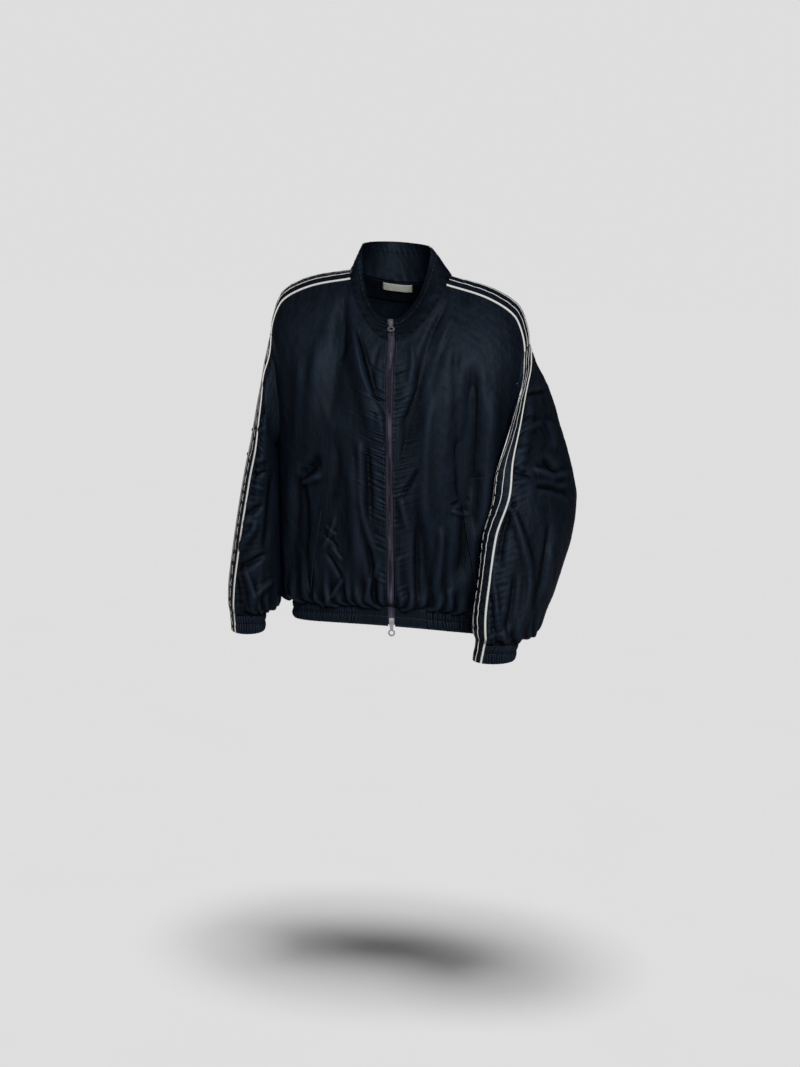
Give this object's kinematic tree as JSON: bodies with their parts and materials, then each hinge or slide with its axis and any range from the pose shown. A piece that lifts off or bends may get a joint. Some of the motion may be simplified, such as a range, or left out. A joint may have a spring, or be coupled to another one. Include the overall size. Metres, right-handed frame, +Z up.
{
  "type": "track jacket",
  "caption": "Front-zip track jacket, filled out as worn, with a stand collar, piped stripe bands on shoulders and sleeves, slanted pockets, elastic hem and cuffs.",
  "frame": {"origin": "midway between the high points of the two shoulders, at the neck seam, where a wearer carries the garment", "axes": "+Z up, the front faces -Y, the wearer's left side is +X"},
  "size_m": [0.6465, 0.3311, 0.7432],
  "materials": {
    "shell": "dark navy woven nylon, soft satin",
    "band": "dark navy woven nylon between pipings",
    "piping": "white corded piping",
    "zip": "woven tape and nylon coil",
    "metal": "silver plated metal",
    "label": "blank woven label, off-white"
  },
  "bodies": {
    "garment": {"back": "shell", "collar": "shell", "cuff_left": "shell", "cuff_right": "shell", "front_left": "shell", "front_right": "shell", "hem_back": "shell", "hem_front_left": "shell", "hem_front_right": "shell", "label": "label", "neck_facing": "shell", "pocket_welt_left": "shell", "pocket_welt_right": "shell", "shoulder_band_left": "band", "shoulder_band_right": "band", "shoulder_piping_back_left": "piping", "shoulder_piping_back_right": "piping", "shoulder_piping_front_left": "piping", "shoulder_piping_front_right": "piping", "sleeve_back_left": "shell", "sleeve_back_right": "shell", "sleeve_band_left": "band", "sleeve_band_right": "band", "sleeve_front_left": "shell", "sleeve_front_right": "shell", "sleeve_piping_back_left": "piping", "sleeve_piping_back_right": "piping", "sleeve_piping_front_left": "piping", "sleeve_piping_front_right": "piping", "slider_bottom": "metal", "slider_top": "metal", "zip_chain": "zip", "zip_tape_left": "zip", "zip_tape_right": "zip"},
    "pull_upper": {"pull_top": "metal"},
    "pull_lower": {"pull_bottom": "metal"}
  },
  "joints": [
    {"name": "pull_top_swing", "type": "hinge", "parent": "garment", "child": "pull_upper", "pos_m": [-0.0114, -0.0662, -0.08083], "axis": [-0.9906, -0.1014, -0.092], "range_deg": [0, 160]},
    {"name": "pull_bottom_swing", "type": "hinge", "parent": "garment", "child": "pull_lower", "pos_m": [0.01726, -0.11105, -0.627], "axis": [-0.9989, 0, -0.0466], "range_deg": [0, 160]}
  ]
}
